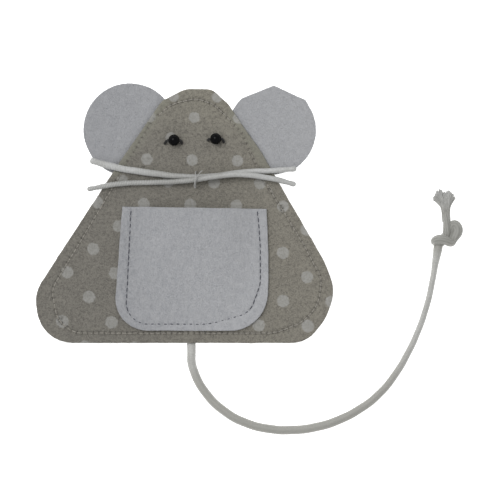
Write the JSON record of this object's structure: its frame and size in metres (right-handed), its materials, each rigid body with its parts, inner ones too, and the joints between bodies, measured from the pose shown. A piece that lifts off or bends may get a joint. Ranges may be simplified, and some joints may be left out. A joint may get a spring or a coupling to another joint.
{
  "type": "felt mouse pouch",
  "caption": "Flat hand-sewn felt mouse pouch with round ears, bead eyes, cord whiskers, a front pocket and a knotted cord tail.",
  "frame": {"origin": "centre of the felt shape's footprint, ears included and tail left out, on the surface that the mouse lies on", "axes": "+Z away from that surface, the side with eyes and pocket; +Y towards the head; +X to the right as seen from above, the side to which the tail curls"},
  "size_m": [0.1595, 0.1314, 0.0091],
  "materials": {
    "printed_felt": "warm grey wool-blend felt with a printed light dot pattern",
    "body_felt": "plain warm grey wool-blend felt",
    "grey_felt": "light grey wool-blend felt",
    "beige_thread": "light beige sewing thread",
    "dark_thread": "blue-grey sewing thread",
    "black_thread": "doubled black sewing thread",
    "white_thread": "white sewing thread",
    "black_glass": "polished opaque black glass",
    "satin_cord": "white satin cord with a soft sheen"
  },
  "bodies": {
    "felt_body": {"body_back": "body_felt", "body_front": "printed_felt", "ear_left_root": "grey_felt", "ear_right_root": "grey_felt", "pocket": "grey_felt", "outline_seam_needle_thread": "beige_thread", "outline_seam_bobbin_thread": "beige_thread", "pocket_seam_needle_thread": "dark_thread", "pocket_seam_bobbin_thread": "dark_thread", "eye_left_thread": "black_thread", "eye_right_thread": "black_thread", "whisker_tie": "white_thread", "tail_root": "satin_cord", "tail_cord": "satin_cord", "tail_knot": "satin_cord", "tail_fray": "satin_cord"},
    "left_ear": {"ear_left": "grey_felt"},
    "right_ear": {"ear_right": "grey_felt"},
    "left_eye": {"eye_left_bead": "black_glass"},
    "right_eye": {"eye_right_bead": "black_glass"},
    "whiskers": {"whisker_upper": "satin_cord", "whisker_lower": "satin_cord"}
  },
  "joints": [
    {"name": "ear_left_fold", "type": "hinge", "parent": "felt_body", "child": "left_ear", "pos_m": [-0.02562, 0.01907, 0.0012], "axis": [0.5676, 0.8233, 0], "range_deg": [-90, 0], "stiffness_Nm_per_rad": 0.003},
    {"name": "ear_right_fold", "type": "hinge", "parent": "felt_body", "child": "right_ear", "pos_m": [0.01702, 0.04137, 0.0012], "axis": [0.5661, -0.8243, 0], "range_deg": [-90, 0], "stiffness_Nm_per_rad": 0.003},
    {"name": "eye_left_spin", "type": "hinge", "parent": "felt_body", "child": "left_eye", "pos_m": [-0.004, 0.0272, 0.00465], "axis": [1, 0, 0], "continuous": true},
    {"name": "eye_right_spin", "type": "hinge", "parent": "felt_body", "child": "right_eye", "pos_m": [0.0116, 0.0277, 0.00465], "axis": [1, 0, 0], "continuous": true},
    {"name": "whiskers_swivel", "type": "hinge", "parent": "felt_body", "child": "whiskers", "pos_m": [0.00405, 0.01305, 0.00375], "axis": [0, 0, 1], "range_deg": [-12, 12]}
  ]
}
